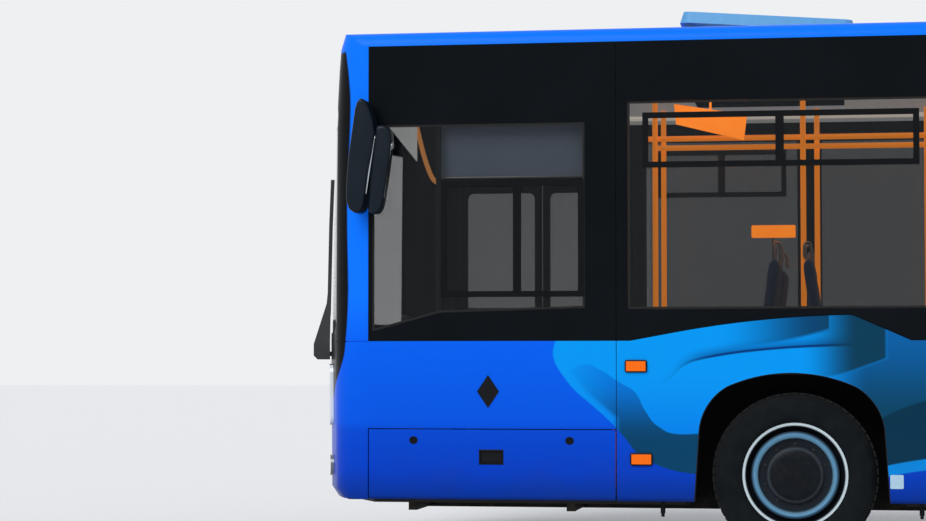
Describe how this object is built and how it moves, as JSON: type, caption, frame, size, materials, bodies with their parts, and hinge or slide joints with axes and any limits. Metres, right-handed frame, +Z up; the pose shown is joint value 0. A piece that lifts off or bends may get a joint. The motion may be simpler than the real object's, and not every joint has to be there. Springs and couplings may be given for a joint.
{
  "type": "low-floor city bus",
  "caption": "Low-floor city bus with inward-gliding twin-leaf doors, steered front wheels, twin rear wheels, service flap, engine lid and roof hatch.",
  "frame": {"origin": "on the ground under the middle of the bus: halfway between the front and rear ends and on the centre line", "axes": "+X points to the rear of the bus, +Y to the kerb side with the doors, +Z up; the driver's side is -Y"},
  "size_m": [12.0568, 2.924, 3.251],
  "materials": {
    "blue_paint": "gloss",
    "black_panel": "gloss",
    "roof_paint": "gloss",
    "glass": "polished",
    "door_glass": "polished",
    "black_plastic": "matte",
    "rubber": "matte",
    "tyre": "matte",
    "rim_steel": "satin",
    "frame_steel": "satin",
    "axle_iron": "rough",
    "floor_vinyl": "matte",
    "liner": "matte",
    "upholstery": "woven",
    "orange_rail": "gloss",
    "bright_steel": "satin",
    "lamp_clear": "polished",
    "lamp_red": "polished",
    "lamp_amber": "polished",
    "hatch_plastic": "gloss"
  },
  "bodies": {
    "body": {"front_mask": "blue_paint", "windscreen": "glass", "headlamps": "lamp_clear", "front_grille": "black_plastic", "rear_mask": "blue_paint", "tail_lamps": "lamp_red", "roof": "roof_paint", "left_wall": "black_panel", "windows": "glass", "vent_frames": "black_plastic", "left_skirt": "blue_paint", "right_wall": "black_panel", "right_skirt": "blue_paint", "door_surrounds": "rubber", "floor": "floor_vinyl", "floor_boxes": "floor_vinyl", "underframe": "frame_steel", "engine": "axle_iron", "front_axle": "axle_iron", "rear_axle": "axle_iron", "ceiling": "liner", "seat_cushions": "upholstery", "seat_backs": "upholstery", "seat_frames": "black_plastic", "seat_handles": "bright_steel", "dashboard": "black_plastic", "cab_partition": "liner", "handrails": "orange_rail", "mirrors": "black_plastic", "side_markers": "lamp_amber", "wipers": "black_plastic"},
    "left_knuckle": {"left_knuckle": "axle_iron"},
    "right_knuckle": {"right_knuckle": "axle_iron"},
    "tie_rod": {"tie_rod": "axle_iron"},
    "front_left_wheel": {"front_left_tyre": "tyre", "front_left_rim": "rim_steel"},
    "front_right_wheel": {"front_right_tyre": "tyre", "front_right_rim": "rim_steel"},
    "rear_left_wheels": {"rear_left_tyres": "tyre", "rear_left_rims": "rim_steel"},
    "rear_right_wheels": {"rear_right_tyres": "tyre", "rear_right_rims": "rim_steel"},
    "service_flap": {"service_flap": "blue_paint"},
    "engine_lid": {"engine_lid": "blue_paint"},
    "roof_hatch": {"roof_hatch": "hatch_plastic"},
    "front_door_fore_arms": {"front_door_fore_column": "black_plastic"},
    "front_door_fore_leaf": {"front_door_fore_leaf": "black_panel", "front_door_fore_glass": "door_glass"},
    "front_door_aft_arms": {"front_door_aft_column": "black_plastic"},
    "front_door_aft_leaf": {"front_door_aft_leaf": "black_panel", "front_door_aft_glass": "door_glass"},
    "middle_door_fore_arms": {"middle_door_fore_column": "black_plastic"},
    "middle_door_fore_leaf": {"middle_door_fore_leaf": "black_panel", "middle_door_fore_glass": "door_glass"},
    "middle_door_aft_arms": {"middle_door_aft_column": "black_plastic"},
    "middle_door_aft_leaf": {"middle_door_aft_leaf": "black_panel", "middle_door_aft_glass": "door_glass"}
  },
  "joints": [
    {"name": "left_steer", "type": "hinge", "parent": "body", "child": "left_knuckle", "pos_m": [-3.13, -0.86, 0.47], "axis": [0, 0, 1], "range_deg": [-45, 45]},
    {"name": "right_steer", "type": "hinge", "parent": "body", "child": "right_knuckle", "pos_m": [-3.13, 0.86, 0.47], "axis": [0, 0, 1], "range_deg": [-45, 45]},
    {"name": "tie_rod_pivot", "type": "hinge", "parent": "left_knuckle", "child": "tie_rod", "pos_m": [-2.95, -0.86, 0.24], "axis": [0, 0, 1], "range_deg": [-45, 45]},
    {"name": "front_left_spin", "type": "hinge", "parent": "left_knuckle", "child": "front_left_wheel", "pos_m": [-3.13, -1.052, 0.47], "axis": [0, 1, 0], "continuous": true},
    {"name": "front_right_spin", "type": "hinge", "parent": "right_knuckle", "child": "front_right_wheel", "pos_m": [-3.13, 1.052, 0.47], "axis": [0, 1, 0], "continuous": true},
    {"name": "rear_left_spin", "type": "hinge", "parent": "body", "child": "rear_left_wheels", "pos_m": [2.77, -0.92, 0.47], "axis": [0, 1, 0], "continuous": true},
    {"name": "rear_right_spin", "type": "hinge", "parent": "body", "child": "rear_right_wheels", "pos_m": [2.77, 0.92, 0.47], "axis": [0, 1, 0], "continuous": true},
    {"name": "front_door_fore_swing", "type": "hinge", "parent": "body", "child": "front_door_fore_arms", "pos_m": [-5.47, 1.22, 1.35], "axis": [0, 0, -1], "range_deg": [0, 88]},
    {"name": "front_door_fore_pivot", "type": "hinge", "parent": "front_door_fore_arms", "child": "front_door_fore_leaf", "pos_m": [-5.14, 1.22, 1.35], "axis": [0, 0, 1], "range_deg": [0, 176]},
    {"name": "front_door_aft_swing", "type": "hinge", "parent": "body", "child": "front_door_aft_arms", "pos_m": [-4.28, 1.22, 1.35], "axis": [0, 0, 1], "range_deg": [0, 88]},
    {"name": "front_door_aft_pivot", "type": "hinge", "parent": "front_door_aft_arms", "child": "front_door_aft_leaf", "pos_m": [-4.61, 1.22, 1.35], "axis": [0, 0, -1], "range_deg": [0, 176]},
    {"name": "middle_door_fore_swing", "type": "hinge", "parent": "body", "child": "middle_door_fore_arms", "pos_m": [-0.695, 1.22, 1.35], "axis": [0, 0, -1], "range_deg": [0, 88]},
    {"name": "middle_door_fore_pivot", "type": "hinge", "parent": "middle_door_fore_arms", "child": "middle_door_fore_leaf", "pos_m": [-0.365, 1.22, 1.35], "axis": [0, 0, 1], "range_deg": [0, 176]},
    {"name": "middle_door_aft_swing", "type": "hinge", "parent": "body", "child": "middle_door_aft_arms", "pos_m": [0.495, 1.22, 1.35], "axis": [0, 0, 1], "range_deg": [0, 88]},
    {"name": "middle_door_aft_pivot", "type": "hinge", "parent": "middle_door_aft_arms", "child": "middle_door_aft_leaf", "pos_m": [0.165, 1.22, 1.35], "axis": [0, 0, -1], "range_deg": [0, 176]},
    {"name": "service_flap_hinge", "type": "hinge", "parent": "body", "child": "service_flap", "pos_m": [-4.8645, -1.224, 0.336], "axis": [1, 0, 0], "range_deg": [0, 90]},
    {"name": "engine_lid_hinge", "type": "hinge", "parent": "body", "child": "engine_lid", "pos_m": [5.985, 0, 1.268], "axis": [0, -1, 0], "range_deg": [0, 75]},
    {"name": "roof_hatch_hinge", "type": "hinge", "parent": "body", "child": "roof_hatch", "pos_m": [-2.76, 0, 3.116], "axis": [0, 1, 0], "range_deg": [-4.2, 0]}
  ],
  "couplings": [
    {"joint": "right_steer", "follows": "left_steer", "ratio": 1},
    {"joint": "tie_rod_pivot", "follows": "left_steer", "ratio": -1},
    {"joint": "front_door_fore_pivot", "follows": "front_door_fore_swing", "ratio": 2},
    {"joint": "front_door_aft_swing", "follows": "front_door_fore_swing", "ratio": 1},
    {"joint": "front_door_aft_pivot", "follows": "front_door_fore_swing", "ratio": 2},
    {"joint": "middle_door_fore_pivot", "follows": "middle_door_fore_swing", "ratio": 2},
    {"joint": "middle_door_aft_swing", "follows": "middle_door_fore_swing", "ratio": 1},
    {"joint": "middle_door_aft_pivot", "follows": "middle_door_fore_swing", "ratio": 2}
  ]
}
